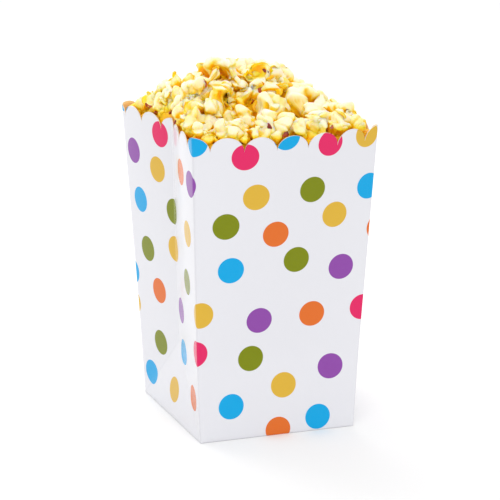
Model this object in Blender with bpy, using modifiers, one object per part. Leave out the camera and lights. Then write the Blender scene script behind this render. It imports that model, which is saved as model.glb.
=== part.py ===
"""Party carton of popcorn: a square folded paper box with a scalloped rim and pleated sides, heaped full.

Metres, +Z up. The origin is the middle of the base, and the front panel faces -Y. Run it with
blender --background --python part.py, or from Blender's text editor.
"""

import math

import bmesh
import bpy
import numpy as np
from mathutils import Euler, Matrix

MM = 0.001

# Carton: driving dimensions
SCALLOPS = 6                    # scallops along the top of each panel
PITCH = 15.0 * MM               # width of one scallop
TOP_WIDTH = SCALLOPS * PITCH
BASE_WIDTH = 77.0 * MM
TOP_DEPTH = 87.5 * MM
BASE_DEPTH = 79.5 * MM
RIM_HEIGHT = 147.5 * MM         # to the crests of the scallops
SCALLOP_DEPTH = 6.8 * MM        # from crest to notch
# The scallops aren't quite even: these places, in panels round the carton, have these numbers of scallops
# before them. The fold at 3.0, between the back and the left panel, is near a notch.
SCALLOP_PLACES = (-0.5, 2.5, 3.0, 3.5, 4.0)
SCALLOP_NUMBERS = (-3.0, 15.0, 18.25, 21.0, 24.0)
BOARD = 0.45 * MM               # thickness of the paper board
PLEAT_HEIGHT = BASE_WIDTH / 2   # where the side's diagonal folds meet its middle crease
PLEAT_PUSH = 5.9 * MM           # how far the crease is pushed in at that height
RIM_PUSH = 7.8 * MM             # and at the rim
PANEL_BULGE = 9.9 * MM          # outward bow of the front and back panels at the rim
BULGE_POWER = 1.4               # how late the bow grows with height
PANEL_DENT = 1.5 * MM           # their inward dent at the height of the pleat
CORNER_PINCH = 1.2 * MM         # how far the corners are drawn in at that height
SIDE_BULGE = 1.5 * MM           # outward bow of each half of a side panel at the rim
TOP_SKEW = 8.8 * MM             # shift of the back panel against the front one, at the rim
BASE_SKEW = 4.0 * MM            # and at the base

# Carton: faceting
COLUMNS = 2 * SCALLOPS          # facets across each panel
PLEAT_ROWS = COLUMNS // 2       # rows below the pleat's height, so that its diagonals run along edges
WALL_ROWS = 4                   # rows from there to the shoulder below the scallops
SHOULDER = 3.0 * MM             # plain board left below the notches in the last row
ARC_STEPS = 3                   # facets on each half of a scallop

# Popcorn: driving dimensions
CORE_SCALE = 0.955              # the core's outline, as a share of the board's outline
CORE_SINK = 11.0 * MM           # how far the core lies below the heap's surface
FLOOR_GAP = 0.5 * MM            # free height between the base board and the core
MOUND_SHARES = (1.0, 0.8, 0.55, 0.3)   # the mound's rings, as shares of the wall's outline
HEAP_EDGE = 4.1 * MM            # the heap's surface at the walls, from the rim's crests
HEAP_TOP = 20.2 * MM            # the heap's highest point, from the rim's crests
HEAP_REACH = 38.0 * MM          # distance from the summit at which the heap is down to its edge height
HEAP_SUMMIT = (-6.1 * MM, 5.7 * MM)
WALL_GAP = 0.9 * MM             # popcorn stays this far inside the board's outer face, at least
FLAKE_KINDS = 10                # different shapes of flake
FLAKE_SIZES = (0.88, 1.12)      # smallest and largest flake of a ring
FLAKE_SINK = (2.0 * MM, 7.5 * MM)   # how far a flake's heart lies below the heap's surface
HEART_RADIUS = 4.3 * MM         # a flake's middle, which its petals grow from
FLAKE_RINGS = (                 # rings of flakes: how many, how far out and how large
    (18, 0.98, 0.8), (14, 0.75, 1.0), (9, 0.5, 1.1), (5, 0.27, 1.1), (1, 0.06, 1.1),
)
FLAKE_SEED = 51046
JITTER = 1.8 * MM               # how far a flake strays from its even place
LEAST_INSIDE = 0.75             # how far inside the board a lobe above the rim stays, in its own radii
NUDGE = 0.3 * MM                # least move of a flake that is too near the walls
MOST_NUDGES = 12


def blend(low, high, share):
    """Straight-line mix of two values."""
    return low + (high - low) * share


def rise_below_pleat(t):
    """0 at the base, 1 from the pleat's height up."""
    return np.clip(t * RIM_HEIGHT / PLEAT_HEIGHT, 0.0, 1.0)


def rise_above_pleat(t):
    """0 up to the pleat's height, 1 at the rim."""
    return np.clip((t * RIM_HEIGHT - PLEAT_HEIGHT) / (RIM_HEIGHT - PLEAT_HEIGHT), 0.0, 1.0)


def corner(side_x, side_y, t):
    """Plan position of one of the carton's four corners at the height share t."""
    skew = blend(BASE_SKEW, TOP_SKEW, t) / 2
    pinch = CORNER_PINCH * rise_below_pleat(t) * (1 - rise_above_pleat(t))
    x = side_x * blend(BASE_WIDTH, TOP_WIDTH, t) / 2 - side_y * skew
    y = side_y * (blend(BASE_DEPTH, TOP_DEPTH, t) / 2 - pinch)
    return np.stack([x + 0 * y, y], -1)


def flat_panel(side_y, s, t):
    """Front or back panel: dented at the pleat's height and bowed out at the rim."""
    start, end = corner(side_y, side_y, t), corner(-side_y, side_y, t)
    up = rise_above_pleat(t)
    bow = (PANEL_BULGE + PANEL_DENT) * up**BULGE_POWER - PANEL_DENT * rise_below_pleat(t)
    plan = blend(start, end, s[..., None])
    plan[..., 1] += side_y * bow * (1 - (2 * s - 1) ** 2)
    return plan


def crease(side_x, t):
    """Plan position of the middle crease of a side panel, at or above the pleat's height."""
    up = rise_above_pleat(t)[..., None]
    pleat_share = np.full_like(t, PLEAT_HEIGHT / RIM_HEIGHT)
    apex = (corner(side_x, -1, pleat_share) + corner(side_x, 1, pleat_share)) / 2
    top = (corner(side_x, -1, np.ones_like(t)) + corner(side_x, 1, np.ones_like(t))) / 2
    apex[..., 0] -= side_x * PLEAT_PUSH
    top[..., 0] -= side_x * RIM_PUSH
    return blend(apex, top, up)


def side_panel(side_x, s, t):
    """Side panel: two halves folded in at the middle crease, above a flat triangle."""
    start_y = np.where(s <= 0.5, side_x * -1.0, side_x * 1.0)
    q = 1 - np.abs(2 * s - 1)
    edge = np.where((start_y < 0)[..., None], corner(side_x, -1, t), corner(side_x, 1, t))
    zero = np.zeros_like(t)
    foot = np.where((start_y < 0)[..., None], corner(side_x, -1, zero), corner(side_x, 1, zero))
    middle_foot = (corner(side_x, -1, zero) + corner(side_x, 1, zero)) / 2
    apex = crease(side_x, t)
    low = rise_below_pleat(t)
    fold = blend(foot, apex, low[..., None])
    centre = blend(middle_foot, apex, low[..., None])
    outer = blend(edge, fold, (q / np.maximum(low, 1e-9))[..., None])
    inner = blend(fold, centre, ((q - low) / np.maximum(1 - low, 1e-9))[..., None])
    plan = np.where((q < low)[..., None], outer, inner)
    plan[..., 0] += side_x * SIDE_BULGE * rise_above_pleat(t) * 4 * q * (1 - q)
    return plan


def board_point(u, z):
    """Outer face of the board. u runs round the carton from 0 to 4 panels: front, right, back, left."""
    u, z = np.broadcast_arrays(np.round(u, 9) % 4, np.asarray(z, float))
    t = z / RIM_HEIGHT
    panel, s = np.floor(u).astype(int), u % 1.0
    plan = np.zeros(u.shape + (2,))
    for index, shape in enumerate((
        lambda: flat_panel(-1, s, t),
        lambda: side_panel(1, s, t),
        lambda: flat_panel(1, s, t),
        lambda: side_panel(-1, s, t),
    )):
        plan = np.where((panel == index)[..., None], shape(), plan)
    return np.concatenate([plan, z[..., None]], -1)


def scallop_edge():
    """The rim's points, as places round the carton and heights: round lobes with pointed notches."""
    angles = np.arange(2 * ARC_STEPS) * math.pi / (2 * ARC_STEPS)
    lobes = np.arange(4 * SCALLOPS)[:, None]
    u = np.interp(lobes - np.cos(angles) / 2, SCALLOP_NUMBERS, SCALLOP_PLACES)
    z = RIM_HEIGHT - SCALLOP_DEPTH * (1 - np.sin(angles)) + 0 * lobes
    return u.ravel(), z.ravel()


def clear_scene():
    """Removes whatever the startup file holds."""
    for obj in list(bpy.data.objects):
        bpy.data.objects.remove(obj)


def object_from(bm, name, collection):
    """Makes the mesh under construction an object of the collection."""
    mesh = bpy.data.meshes.new(name)
    bm.to_mesh(mesh)
    bm.free()
    obj = bpy.data.objects.new(name, mesh)
    collection.objects.link(obj)
    return obj


def paint(obj, name, colour, roughness):
    """Gives the object its own Principled material."""
    material = bpy.data.materials.new(name)
    material.use_nodes = True
    shader = material.node_tree.nodes["Principled BSDF"]
    shader.inputs["Base Color"].default_value = (*colour, 1.0)
    shader.inputs["Roughness"].default_value = roughness
    shader.inputs["Metallic"].default_value = 0.0
    obj.data.materials.clear()
    obj.data.materials.append(material)


def wall_heights():
    """Heights of the carton's rings, from the base to the shoulder below the notches."""
    low = np.linspace(0, PLEAT_HEIGHT, PLEAT_ROWS + 1)
    shoulder = RIM_HEIGHT - SCALLOP_DEPTH - SHOULDER
    return np.concatenate([low, np.linspace(PLEAT_HEIGHT, shoulder, WALL_ROWS + 1)[1:]])


def ring_of(bm, points):
    """Adds one ring of points to the mesh."""
    return [bm.verts.new(p) for p in points]


def loft(bm, rings, pleated_rows):
    """Joins rings from the base up. In the pleated rows the cuts follow the side panels' diagonal folds."""
    count = len(rings[0])
    for row, (below, above) in enumerate(zip(rings, rings[1:])):
        for i in range(count):
            j = (i + 1) % count
            falling = (i // COLUMNS) % 2 == 1 and i % COLUMNS >= COLUMNS // 2
            if row < pleated_rows and falling:
                bm.faces.new((below[i], below[j], above[i]))
                bm.faces.new((below[j], above[j], above[i]))
            else:
                bm.faces.new((below[i], below[j], above[j]))
                bm.faces.new((below[i], above[j], above[i]))


def build_carton(collection):
    """One folded blank: a sheet lofted ring by ring, closed at the base, thickened inwards to the board."""
    bm = bmesh.new()
    columns = np.arange(4 * COLUMNS) / COLUMNS
    rings = [ring_of(bm, board_point(columns, z)) for z in wall_heights()]
    loft(bm, rings, PLEAT_ROWS)
    add_rim(bm, rings[-1])
    bm.faces.new(list(reversed(rings[0])))
    carton = object_from(bm, "carton", collection)
    board = carton.modifiers.new("board", "SOLIDIFY")
    board.thickness = BOARD
    board.offset = -1.0
    board.use_even_offset = True
    paint(carton, "printed_board", (0.86, 0.86, 0.88), 0.35)


def add_rim(bm, shoulder):
    """Fans from the shoulder ring up to the scalloped edge, which has more points."""
    edge = ring_of(bm, board_point(*scallop_edge()))
    count = len(edge)
    steps = count // len(shoulder)
    for i, low in enumerate(shoulder):
        following = shoulder[(i + 1) % len(shoulder)]
        # The edge's first point is a notch, half a scallop before the corner.
        start = i * steps + ARC_STEPS
        fan = [edge[(start + n) % count] for n in range(steps + 1)]
        half = steps // 2
        for a, b in zip(fan[:half], fan[1:half + 1]):
            bm.faces.new((low, b, a))
        bm.faces.new((low, following, fan[half]))
        for a, b in zip(fan[half:-1], fan[half + 1:]):
            bm.faces.new((following, b, a))


def heap_height(x, y):
    """Height of the heap's surface: a rounded mound that runs down to the walls."""
    away = np.hypot(x - HEAP_SUMMIT[0], y - HEAP_SUMMIT[1]) / HEAP_REACH
    return RIM_HEIGHT + blend(HEAP_EDGE, HEAP_TOP, np.clip(1 - away**2, 0.0, 1.0))


def room_to_wall(points):
    """Distance in plan from each point to the board's outer face at its height, negative outside."""
    columns = np.arange(4 * COLUMNS) / COLUMNS
    starts = board_point(columns, np.minimum(points[:, 2:], RIM_HEIGHT))[..., :2]
    step = np.roll(starts, -1, axis=1) - starts
    away = points[:, None, :2] - starts
    share = np.clip((away * step).sum(2) / (step**2).sum(2), 0, 1)
    distance = np.linalg.norm(away - step * share[..., None], axis=2).min(1)
    spans = (away[..., 1] < 0) != (away[..., 1] < step[..., 1])
    left_of = away[..., 0] * step[..., 1] < away[..., 1] * step[..., 0]
    crossed = spans & (left_of == (step[..., 1] > 0))
    return np.where(crossed.sum(1) % 2 == 1, distance, -distance)


def flake_kind(random):
    """One kind of flake, as the middles and radii of its lobes: a small heart with puffed petals round it."""
    petals = int(random.integers(4, 7))
    turns = 2 * math.pi * (np.arange(petals) + 0.35 * random.random(petals)) / petals
    climbs = np.radians(random.uniform(-35, 60, petals))
    reaches = random.uniform(5.6, 7.8, petals) * MM
    directions = [np.cos(turns) * np.cos(climbs), np.sin(turns) * np.cos(climbs), np.sin(climbs)]
    middles = np.concatenate([np.zeros((1, 3)), np.stack(directions, 1) * reaches[:, None]])
    radii = np.concatenate([[HEART_RADIUS], random.uniform(3.3, 5.3, petals) * MM])
    return middles, radii


def flake_reach(directions, middles, radii):
    """Distance from a flake's heart to its surface: the far side of the outermost lobe that way."""
    along = directions @ middles.T
    inside = radii**2 - (middles**2).sum(1) + along**2
    return np.where(inside > 0, along + np.sqrt(np.maximum(inside, 0)), 0).max(1)


def flake_places(random, kinds):
    """Flakes in rings that follow the walls, as (matrix, kind) pairs."""
    places = []
    for ring, (count, share, size) in enumerate(FLAKE_RINGS):
        for n in range(count):
            wall = board_point(4 * (n + ring / 2) / count, RIM_HEIGHT)[:2]
            x, y = wall * share + random.uniform(-JITTER, JITTER, 2)
            kind = int(random.integers(len(kinds)))
            turn = Euler(random.uniform(0, 2 * math.pi, 3)).to_matrix() * size * random.uniform(*FLAKE_SIZES)
            matrix = place_inside(x, y, random.uniform(*FLAKE_SINK) * size, turn, kinds[kind])
            if matrix is not None:
                places.append((matrix, kind))
    return places


def place_inside(x, y, sink, turn, kind):
    """Sets a flake on the heap, moved towards the middle until it is clear of the board, or gives None."""
    middles, radii = kind
    centres = middles @ np.array(turn).T
    reaches = radii * turn.median_scale + WALL_GAP
    for _ in range(MOST_NUDGES):
        heart = np.array([x, y, float(heap_height(x, y)) - sink])
        # A lobe above the rim may lean out over it, so only its width at the rim's height counts.
        above = np.maximum(heart[2] + centres[:, 2] - RIM_HEIGHT, 0)
        widths = np.sqrt(np.maximum(reaches**2 - above**2, (LEAST_INSIDE * reaches) ** 2))
        short = (widths - room_to_wall(heart + centres)).max()
        if short <= 0:
            return Matrix.Translation(heart) @ turn.to_4x4()
        kept = 1 - (short + NUDGE) / math.hypot(x, y)
        x, y = x * kept, y * kept
    return None


def build_core(collection):
    """The popcorn's unseen inside: the carton's own section, drawn in, under a smooth mound."""
    bm = bmesh.new()
    columns = np.arange(4 * COLUMNS) / COLUMNS
    heights = wall_heights()[:-1]
    heights[0] = BOARD + FLOOR_GAP
    shrink = np.array([CORE_SCALE, CORE_SCALE, 1.0])
    rings = [ring_of(bm, board_point(columns, z) * shrink) for z in heights]
    shoulder = board_point(columns, heights[-1]) * shrink
    for share in MOUND_SHARES:
        mound = shoulder * [share, share, 0]
        mound[:, 2] = heap_height(mound[:, 0], mound[:, 1]) - CORE_SINK
        rings.append(ring_of(bm, mound))
    loft(bm, rings, PLEAT_ROWS)
    bm.faces.new(list(reversed(rings[0])))
    summit = bm.verts.new((0, 0, float(heap_height(0, 0)) - CORE_SINK))
    for a, b in zip(rings[-1], rings[-1][1:] + rings[-1][:1]):
        bm.faces.new((a, b, summit))
    return object_from(bm, "popcorn", collection)


def flake_mesh(kind):
    """A faceted ball whose corners are moved out to the flake's surface."""
    bm = bmesh.new()
    bmesh.ops.create_icosphere(bm, subdivisions=2, radius=1.0)
    directions = np.array([vert.co for vert in bm.verts])
    for vert, reach in zip(bm.verts, flake_reach(directions, *kind)):
        vert.co *= reach
    mesh = bpy.data.meshes.new("flake")
    bm.to_mesh(mesh)
    bm.free()
    return mesh


def add_flakes(collection, places, kinds):
    """One object for each flake on the heap."""
    meshes = [flake_mesh(kind) for kind in kinds]
    for matrix, kind in places:
        flake = bpy.data.objects.new("flake", meshes[kind])
        flake.matrix_world = matrix
        collection.objects.link(flake)


def keep_largest_island(mesh):
    """Drops the sealed hollows and loose scraps that the union leaves."""
    bm = bmesh.new()
    bm.from_mesh(mesh)
    left = set(bm.verts)
    islands = []
    while left:
        island, front = set(), [left.pop()]
        while front:
            vert = front.pop()
            island.add(vert)
            linked = {edge.other_vert(vert) for edge in vert.link_edges} & left
            left -= linked
            front.extend(linked)
        islands.append(island)
    largest = max(islands, key=len)
    loose = [vert for vert in bm.verts if vert not in largest]
    bmesh.ops.delete(bm, geom=loose, context="VERTS")
    bm.to_mesh(mesh)
    bm.free()


def build_popcorn(collection):
    """The heap: a smooth core with the flakes that show fused on."""
    random = np.random.default_rng(FLAKE_SEED)
    kinds = [flake_kind(random) for _ in range(FLAKE_KINDS)]
    places = flake_places(random, kinds)
    flakes = bpy.data.collections.new("flakes")
    bpy.context.scene.collection.children.link(flakes)
    add_flakes(flakes, places, kinds)
    popcorn = build_core(collection)
    fuse = popcorn.modifiers.new("fuse", "BOOLEAN")
    fuse.operation = "UNION"
    fuse.operand_type = "COLLECTION"
    fuse.collection = flakes
    fuse.solver = "MANIFOLD"
    graph = bpy.context.evaluated_depsgraph_get()
    popcorn.data = bpy.data.meshes.new_from_object(popcorn.evaluated_get(graph))
    popcorn.modifiers.clear()
    keep_largest_island(popcorn.data)
    for flake in list(flakes.objects):
        bpy.data.objects.remove(flake)
    bpy.data.collections.remove(flakes)
    paint(popcorn, "buttered_popcorn", (0.95, 0.80, 0.38), 0.6)
    print(f"{len(places)} flakes on the heap")


def main():
    clear_scene()
    collection = bpy.data.collections.new("popcorn_carton")
    bpy.context.scene.collection.children.link(collection)
    build_carton(collection)
    build_popcorn(collection)


main()
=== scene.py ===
# %% [markdown]
# # A paper carton heaped with buttered popcorn
#
# The real thing is a folded paper carton: one printed blank with a scalloped rim and two pleated sides,
# filled until the popped flakes stand well above the rim. This lesson dresses a plain model of it that is
# already made to size. The plain model has two solids, the carton and the heap, and both are replaced here
# by finer meshes in the same place. Every length is in metres, written as a number of millimetres times MM.

# %% Load the plain model
import math

import bpy
import numpy as np
from mathutils import Euler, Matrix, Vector


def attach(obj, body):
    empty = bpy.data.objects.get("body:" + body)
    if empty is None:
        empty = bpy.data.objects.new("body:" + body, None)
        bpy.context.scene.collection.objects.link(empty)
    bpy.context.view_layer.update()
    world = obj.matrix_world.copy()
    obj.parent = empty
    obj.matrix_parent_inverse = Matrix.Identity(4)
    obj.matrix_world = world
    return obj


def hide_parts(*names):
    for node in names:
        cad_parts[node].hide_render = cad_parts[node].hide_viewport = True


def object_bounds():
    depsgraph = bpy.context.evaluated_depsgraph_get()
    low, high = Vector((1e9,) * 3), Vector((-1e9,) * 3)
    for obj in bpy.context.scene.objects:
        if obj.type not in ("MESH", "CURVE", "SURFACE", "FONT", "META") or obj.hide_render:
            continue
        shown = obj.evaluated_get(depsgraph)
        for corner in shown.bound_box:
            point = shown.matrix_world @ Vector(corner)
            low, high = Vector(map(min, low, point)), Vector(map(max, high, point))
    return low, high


MM = 0.001
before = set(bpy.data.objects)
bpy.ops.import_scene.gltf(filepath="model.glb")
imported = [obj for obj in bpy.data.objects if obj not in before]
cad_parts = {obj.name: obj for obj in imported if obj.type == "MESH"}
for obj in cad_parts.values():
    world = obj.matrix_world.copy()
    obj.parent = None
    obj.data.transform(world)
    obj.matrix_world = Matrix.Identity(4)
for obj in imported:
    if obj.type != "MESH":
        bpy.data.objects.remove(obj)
cad_box = [list(corner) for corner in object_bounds()]
print("plain model, in mm:", [[round(value / MM, 1) for value in corner] for corner in cad_box])

# %% [markdown]
# ## The camera
#
# The photograph looks down on the carton a little, and from the left of its front panel. A camera can be
# placed by eye, or worked out from the carton's corners and scallops, whose real sizes are known. The second
# way was used: the camera's distance, angles and lens are the ones that put the corners where they show.

# %% Camera
CAMERA_AZIMUTH = math.radians(-18.6)
CAMERA_ELEVATION = math.radians(15.57)
CAMERA_DISTANCE = 1070 * MM
CAMERA_TARGET = Vector((1.12, -1.02, 80.55)) * MM
LENS_MM, SENSOR_MM = 160.9, 36.0
CLIP_START = 10 * MM


def add_object(name, data):
    """Puts a new object at the origin of the scene."""
    item = bpy.data.objects.new(name, data)
    bpy.context.scene.collection.objects.link(item)
    return item


camera = add_object("camera", bpy.data.cameras.new("camera"))
towards_camera = Vector((
    math.sin(CAMERA_AZIMUTH) * math.cos(CAMERA_ELEVATION),
    -math.cos(CAMERA_AZIMUTH) * math.cos(CAMERA_ELEVATION),
    math.sin(CAMERA_ELEVATION),
))
camera.location = CAMERA_TARGET + towards_camera * CAMERA_DISTANCE
camera.rotation_euler = towards_camera.to_track_quat("Z", "Y").to_euler()
camera.data.lens = LENS_MM
camera.data.sensor_width = SENSOR_MM
camera.data.clip_start = CLIP_START
bpy.context.scene.camera = camera
print("camera at", [round(value, 3) for value in camera.location])

# %% [markdown]
# ## Helpers for meshes and materials
#
# Each piece below is an array of points and an array of faces, so one helper turns the two into an object.
# A second one hands values to a mesh as a named attribute, which the materials can read. The others add
# a shader node and set or link its inputs in one line, which keeps the materials short.

# %% Helpers for meshes
def make_piece(name, points, faces, materials, node):
    """Puts points and faces into a new smooth object, which stands for a solid of the plain model."""
    mesh = bpy.data.meshes.new(name)
    mesh.from_pydata(points.tolist(), [], faces)
    mesh.shade_smooth()
    for material in materials:
        mesh.materials.append(material)
    piece = add_object(name, mesh)
    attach(piece, "root")
    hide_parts(node)
    return piece


def add_values(piece, name, kind, domain, values):
    """Stores one value (or one vector) for each point or face corner of a piece."""
    attribute = piece.data.attributes.new(name, kind, domain)
    attribute.data.foreach_set("value" if kind == "FLOAT" else "vector", values.astype(np.float32).ravel())


# %% Helpers for shader nodes
def add_node(tree, kind, inputs=(), **settings):
    """Adds a shader node. Its inputs are (number or name, value or socket) pairs."""
    node = tree.nodes.new("ShaderNode" + kind)
    for setting, value in settings.items():
        setattr(node, setting, value)
    for key, value in inputs:
        if isinstance(value, bpy.types.NodeSocket):
            tree.links.new(value, node.inputs[key])
        else:
            node.inputs[key].default_value = value
    return node


def noise(tree, scale, detail):
    """Soft cloudy values, mostly near a half, at the piece's own coordinates in metres."""
    place = add_node(tree, "TexCoord").outputs["Object"]
    return add_node(tree, "TexNoise", [("Vector", place), ("Scale", scale), ("Detail", detail)]).outputs[0]


def span(tree, value, low, high, at_low=0.0, at_high=1.0):
    """Carries the span from low to high over to the span from at_low to at_high, and stops at its ends."""
    inputs = [(0, value), (1, low), (2, high), (3, at_low), (4, at_high)]
    return add_node(tree, "MapRange", inputs).outputs[0]


def feed(tree, node, **sources):
    """Links sources to the inputs of a node by their names, with _ for a space."""
    for name, source in sources.items():
        tree.links.new(source, node.inputs[name.replace("_", " ")])


def combine(tree, operation, first, second, **settings):
    """Arithmetic on two values."""
    return add_node(tree, "Math", [(0, first), (1, second)], operation=operation, **settings).outputs[0]


def mix(tree, share, first, second):
    """The first colour where the share is 0, the second one where it is 1."""
    return add_node(tree, "Mix", [(0, share), (6, first), (7, second)], data_type="RGBA").outputs[2]


def add_ramp(tree, value, stops, interpolation="LINEAR"):
    """A colour ramp with (place, colour) pairs in rising order. A new ramp already has two stops."""
    node = add_node(tree, "ValToRGB", [(0, value)])
    ramp = node.color_ramp
    ramp.interpolation = interpolation
    while len(ramp.elements) < len(stops):
        ramp.elements.new(0.5)
    for element, (place, _) in zip(ramp.elements, stops):
        element.position = place
    for element, (_, colour) in zip(ramp.elements, stops):
        element.color = colour
    return node.outputs[0]


# %% Helpers for materials
def paint(red, green, blue):
    """A colour as seen on a screen, 0 to 255, made linear: ((c + 0.055) / 1.055) to the power 2.4."""
    shares = (np.array([red, green, blue]) / 255 + 0.055) / 1.055
    return (*(shares**2.4).tolist(), 1.0)


def new_material(name, roughness, **constants):
    """A material with one Principled BSDF, whose plain numbers are set on its own sockets."""
    material = bpy.data.materials.new(name)
    material.use_nodes = True
    shader = material.node_tree.nodes["Principled BSDF"]
    shader.inputs["Roughness"].default_value = roughness
    for socket, value in constants.items():
        shader.inputs[socket.replace("_", " ")].default_value = value
    return material, material.node_tree, shader


# %% [markdown]
# ## The studio
#
# The photograph is a cut-out on pure white, lit from all round with a soft light from above. A light tent
# gives that: a white room, a white floor, and one broad lamp overhead. The room is the world's colour, and a
# sun with a wide disc stands for the lamp, since its light is equally strong everywhere on the floor. A
# second lamp hangs behind the carton and lights the floor there, which the pleat's front half mirrors.

# %% Floor, room and lamps
FLOOR_SIZE = 12.0
FLOOR_GREY, PURE_WHITE = (0.9, 0.9, 0.9, 1.0), (1.0, 1.0, 1.0, 1.0)
ROOM_BRIGHTNESS = 0.88
LAMP_STRENGTH = 0.8
LAMP_ANGLES = (math.radians(38), math.radians(-12), 0.0)
LAMP_WIDTH = math.radians(50)
BACK_LIGHT_POWER, BACK_LIGHT_SIZE = 2.6, 0.7
BACK_LIGHT_PLACE, BACK_LIGHT_AIM = Vector((-0.1, 0.55, 0.6)), Vector((0.0, 0.3, 0.0))

bpy.context.scene.view_settings.view_transform = "Standard"
corners = np.array([[-1, -1, 0], [1, -1, 0], [1, 1, 0], [-1, 1, 0]]) * FLOOR_SIZE / 2
floor_mesh = bpy.data.meshes.new("floor")
floor_mesh.from_pydata(corners.tolist(), [], [(0, 1, 2, 3)])
floor = add_object("floor", floor_mesh)
floor_paint, _, floor_shader = new_material("white_floor", 0.9, Specular_IOR_Level=0.1)
floor_shader.inputs["Base Color"].default_value = FLOOR_GREY
floor_mesh.materials.append(floor_paint)

world = bpy.data.worlds.new("white_room")
bpy.context.scene.world = world
world.use_nodes = True
backdrop = world.node_tree.nodes["Background"]
backdrop.inputs["Color"].default_value = PURE_WHITE
backdrop.inputs["Strength"].default_value = ROOM_BRIGHTNESS

lamp = add_object("overhead_lamp", bpy.data.lights.new("overhead_lamp", "SUN"))
lamp.data.energy = LAMP_STRENGTH
lamp.data.angle = LAMP_WIDTH
lamp.rotation_euler = LAMP_ANGLES

back_light = add_object("back_light", bpy.data.lights.new("back_light", "AREA"))
back_light.data.energy = BACK_LIGHT_POWER
back_light.data.size = BACK_LIGHT_SIZE
back_light.location = BACK_LIGHT_PLACE
back_light.rotation_euler = (BACK_LIGHT_PLACE - BACK_LIGHT_AIM).to_track_quat("Z", "Y").to_euler()
print("studio ready")

# %% [markdown]
# ## The folded blank as a surface
#
# A carton is a sheet of board, so its whole outer face is one function of two numbers: u, the way round the
# carton (one unit for each of the four panels: front, right, back, left), and z, the height. The panels
# widen from the base to the rim. The heap pushes the front and back panels out at the rim. Each side
# panel is pleated: it folds in along a middle crease, above a triangle whose slanted folds start at
# the base's corners. The formulas are the plain model's own, so the fine carton lies exactly over it.

# %% Sizes of the carton
SCALLOPS = 6
PITCH = 15.0 * MM
TOP_WIDTH, BASE_WIDTH = SCALLOPS * PITCH, 77.0 * MM
TOP_DEPTH, BASE_DEPTH = 87.5 * MM, 79.5 * MM
RIM_HEIGHT = 147.5 * MM
SCALLOP_DEPTH = 6.8 * MM
SCALLOP_PLACES = (-0.5, 2.5, 3.0, 3.5, 4.0)
SCALLOP_NUMBERS = (-3.0, 15.0, 18.25, 21.0, 24.0)
BOARD = 0.45 * MM
PLEAT_HEIGHT = BASE_WIDTH / 2
PLEAT_PUSH, RIM_PUSH = 5.9 * MM, 7.8 * MM
PANEL_BULGE, BULGE_POWER = 9.9 * MM, 1.4
PANEL_DENT, CORNER_PINCH, SIDE_BULGE = 1.5 * MM, 1.2 * MM, 1.5 * MM
TOP_SKEW, BASE_SKEW = 8.8 * MM, 4.0 * MM
print("carton", TOP_WIDTH / MM, "mm wide at the rim and", BASE_WIDTH / MM, "mm at the base")


# %% The sharply folded surface
def blend(low, high, share):
    """Straight-line mix of two values."""
    return low + (high - low) * share


def rise_below_pleat(t):
    """0 at the base, 1 from the pleat's height up; t is the height as a share of the rim's."""
    return np.clip(t * RIM_HEIGHT / PLEAT_HEIGHT, 0.0, 1.0)


def rise_above_pleat(t):
    """0 up to the pleat's height, 1 at the rim."""
    return np.clip((t * RIM_HEIGHT - PLEAT_HEIGHT) / (RIM_HEIGHT - PLEAT_HEIGHT), 0.0, 1.0)


def corner(side_x, side_y, t):
    """Plan position of a corner: half the width and depth there, skewed, and pinched in at the pleat."""
    skew = blend(BASE_SKEW, TOP_SKEW, t) / 2
    pinch = CORNER_PINCH * rise_below_pleat(t) * (1 - rise_above_pleat(t))
    x = side_x * blend(BASE_WIDTH, TOP_WIDTH, t) / 2 - side_y * skew
    y = side_y * (blend(BASE_DEPTH, TOP_DEPTH, t) / 2 - pinch)
    return np.stack([x + 0 * y, y], -1)


def flat_panel(side_y, s, t):
    """Front or back: the line between its corners, moved out by a parabola that grows with the height."""
    start, end = corner(side_y, side_y, t), corner(-side_y, side_y, t)
    up = rise_above_pleat(t)
    bow = (PANEL_BULGE + PANEL_DENT) * up**BULGE_POWER - PANEL_DENT * rise_below_pleat(t)
    plan = blend(start, end, s[..., None])
    plan[..., 1] += side_y * bow * (1 - (2 * s - 1) ** 2)
    return plan


def crease(side_x, t):
    """Plan position of a side's middle crease: its corners' midpoint, pushed in."""
    up = rise_above_pleat(t)[..., None]
    pleat_share = np.full_like(t, PLEAT_HEIGHT / RIM_HEIGHT)
    apex = (corner(side_x, -1, pleat_share) + corner(side_x, 1, pleat_share)) / 2
    top = (corner(side_x, -1, np.ones_like(t)) + corner(side_x, 1, np.ones_like(t))) / 2
    apex[..., 0] -= side_x * PLEAT_PUSH
    top[..., 0] -= side_x * RIM_PUSH
    return blend(apex, top, up)


def side_panel(side_x, s, t):
    """Side: two halves folded in at the middle crease, above a flat triangle."""
    in_front = ((s <= 0.5) == (side_x > 0))[..., None]
    q = 1 - np.abs(2 * s - 1)
    edge = np.where(in_front, corner(side_x, -1, t), corner(side_x, 1, t))
    zero = np.zeros_like(t)
    foot = np.where(in_front, corner(side_x, -1, zero), corner(side_x, 1, zero))
    middle_foot = (corner(side_x, -1, zero) + corner(side_x, 1, zero)) / 2
    apex = crease(side_x, t)
    low = rise_below_pleat(t)
    fold = blend(foot, apex, low[..., None])
    centre = blend(middle_foot, apex, low[..., None])
    outer = blend(edge, fold, (q / np.maximum(low, 1e-9))[..., None])
    inner = blend(fold, centre, ((q - low) / np.maximum(1 - low, 1e-9))[..., None])
    plan = np.where((q < low)[..., None], outer, inner)
    plan[..., 0] += side_x * SIDE_BULGE * rise_above_pleat(t) * 4 * q * (1 - q)
    return plan


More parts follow.
